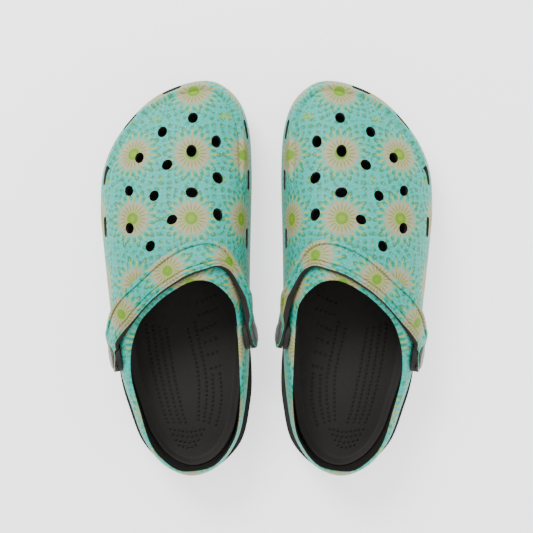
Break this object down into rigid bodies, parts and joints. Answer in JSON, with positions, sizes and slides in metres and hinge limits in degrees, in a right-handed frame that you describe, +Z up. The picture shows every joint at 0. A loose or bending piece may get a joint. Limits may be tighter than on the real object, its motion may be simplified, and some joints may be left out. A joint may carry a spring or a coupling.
{
  "type": "rubber garden clog",
  "caption": "Pair of printed foam garden clogs: vented uppers on black soles, loose black footbeds, and heel straps that swing on snap rivets.",
  "frame": {"origin": "on the ground, under the middle of the pair's own box", "axes": "+Z up, +Y from the heels to the toes, +X from the left clog to the right one"},
  "size_m": [0.246, 0.2906, 0.0913],
  "materials": {
    "printed_foam": "matt foam, printed with flowers",
    "black_foam": "matt foam",
    "sole_rubber": "matt",
    "rivet_plastic": "satin"
  },
  "bodies": {
    "left_clog": {"left_upper": "printed_foam", "left_outsole": "sole_rubber", "left_footbed": "black_foam", "left_outer_rivet_socket": "rivet_plastic", "left_inner_rivet_socket": "rivet_plastic"},
    "left_strap": {"left_heel_strap": "printed_foam", "left_outer_rivet_button": "rivet_plastic", "left_inner_rivet_button": "rivet_plastic"},
    "right_clog": {"right_upper": "printed_foam", "right_outsole": "sole_rubber", "right_footbed": "black_foam", "right_outer_rivet_socket": "rivet_plastic", "right_inner_rivet_socket": "rivet_plastic"},
    "right_strap": {"right_heel_strap": "printed_foam", "right_outer_rivet_button": "rivet_plastic", "right_inner_rivet_button": "rivet_plastic"}
  },
  "joints": [
    {"name": "right_clog_lift", "type": "slide", "parent": "left_clog", "child": "right_clog", "axis": [0, 0, 1], "range_m": [0, 0.2]},
    {"name": "right_strap_swing", "type": "hinge", "parent": "right_clog", "child": "right_strap", "pos_m": [0.10675, -0.05643, 0.05], "axis": [0.9854, -0.1701, 0], "range_deg": [0, 92]},
    {"name": "left_strap_swing", "type": "hinge", "parent": "left_clog", "child": "left_strap", "pos_m": [-0.10675, -0.05643, 0.05], "axis": [0.9854, 0.1701, 0], "range_deg": [0, 92]}
  ]
}
